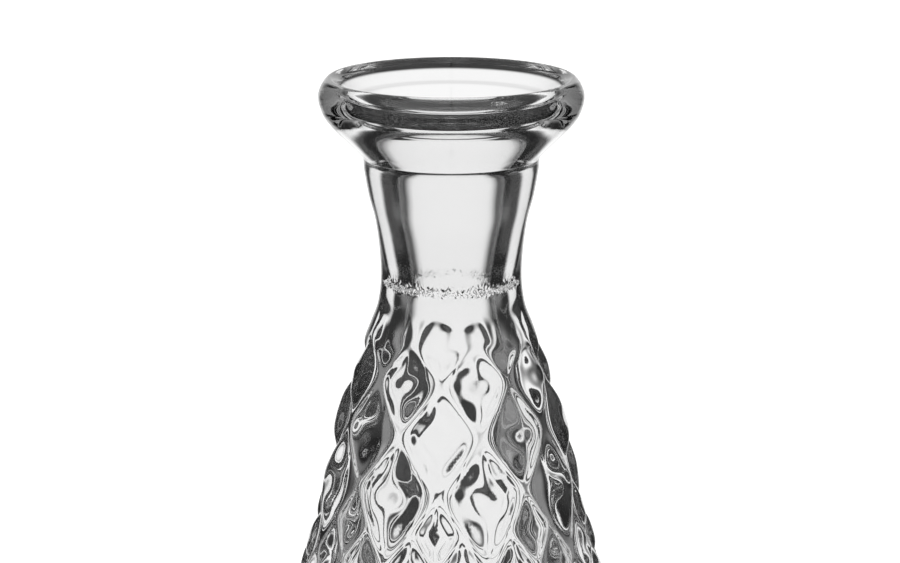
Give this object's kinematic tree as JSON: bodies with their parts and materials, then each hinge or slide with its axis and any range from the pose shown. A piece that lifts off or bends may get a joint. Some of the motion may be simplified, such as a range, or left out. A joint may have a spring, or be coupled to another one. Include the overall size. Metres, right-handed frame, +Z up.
{
  "type": "crystal decanter",
  "caption": "Cut crystal decanter with a rounded lip, a ground neck, a conical body covered in pillow diamonds, and a ground glass stopper with a cut ball.",
  "frame": {"origin": "centre of the vessel's flat underside, on its axis", "axes": "+Z up along the vessel's axis, +X towards the stopper that stands beside it, -Y towards the viewer"},
  "size_m": [0.1745, 0.1034, 0.24],
  "materials": {
    "cut_crystal": "clear lead crystal, cut and acid polished, with a fine-ground matt band inside the neck",
    "stopper_crystal": "clear lead crystal, cut and polished, with a fine-ground matt plug"
  },
  "bodies": {
    "vessel": {"vessel": "cut_crystal"},
    "stopper": {"stopper": "stopper_crystal"}
  },
  "joints": [
    {"name": "stopper_lift", "type": "slide", "parent": "vessel", "child": "stopper", "axis": [0, 0, 1], "range_m": [0, 0.25]}
  ]
}
